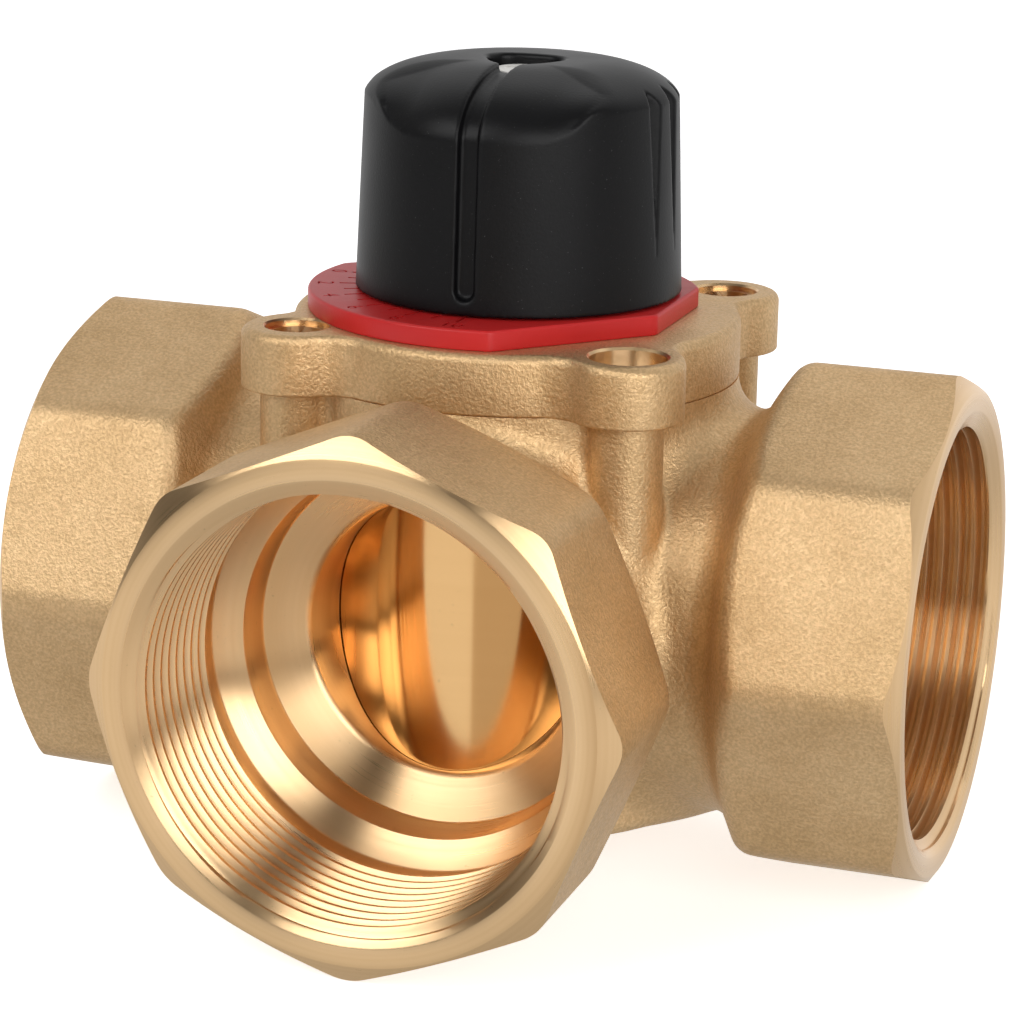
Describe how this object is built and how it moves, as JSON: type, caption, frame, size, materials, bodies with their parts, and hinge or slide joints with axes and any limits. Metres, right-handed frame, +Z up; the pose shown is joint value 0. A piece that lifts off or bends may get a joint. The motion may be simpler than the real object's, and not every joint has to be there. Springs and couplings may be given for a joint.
{
  "type": "three way rotary mixing valve",
  "caption": "Tee-shaped cast brass valve body with internally threaded octagonal ports, a screwed cover, a graduated dial and a hand knob turning a segment rotor.",
  "frame": {"origin": "centre of the cover's top face, on the stem axis and midway between the two actuator holes, 0.9 mm above the seat where they narrow", "axes": "+Z up along the stem towards the knob; +X along the straight run towards the right port; -Y towards the front port"},
  "size_m": [0.128, 0.0999, 0.1105],
  "materials": {
    "cast_brass": "sandblasted casting, matt",
    "cut_brass": "machined, satin",
    "zinc_steel": "zinc plated",
    "bright_steel": "bright drawn",
    "red_plastic": "satin moulded",
    "black_plastic": "satin moulded",
    "bush_plastic": "turned",
    "seal_rubber": "matt"
  },
  "bodies": {
    "housing": {"body": "cast_brass", "cover": "cast_brass", "cover_seal": "seal_rubber", "cover_screw_front": "zinc_steel", "cover_screw_back": "zinc_steel", "dial_plate": "red_plastic", "stop_pin": "bright_steel", "stem_bush": "bush_plastic", "lower_bush": "bush_plastic", "thrust_washer": "bush_plastic"},
    "rotor_assembly": {"knob": "black_plastic", "knob_insert": "cut_brass", "knob_screw": "zinc_steel", "knob_washer": "zinc_steel", "stem": "cut_brass", "stem_seal_upper": "seal_rubber", "stem_seal_lower": "seal_rubber", "retaining_ring": "bright_steel", "rotor": "cut_brass", "rotor_pin": "bright_steel"}
  },
  "joints": [
    {"name": "rotor_turn", "type": "hinge", "parent": "housing", "child": "rotor_assembly", "pos_m": [0, 0, 0], "axis": [0, 0, 1], "range_deg": [-90, 0]}
  ]
}
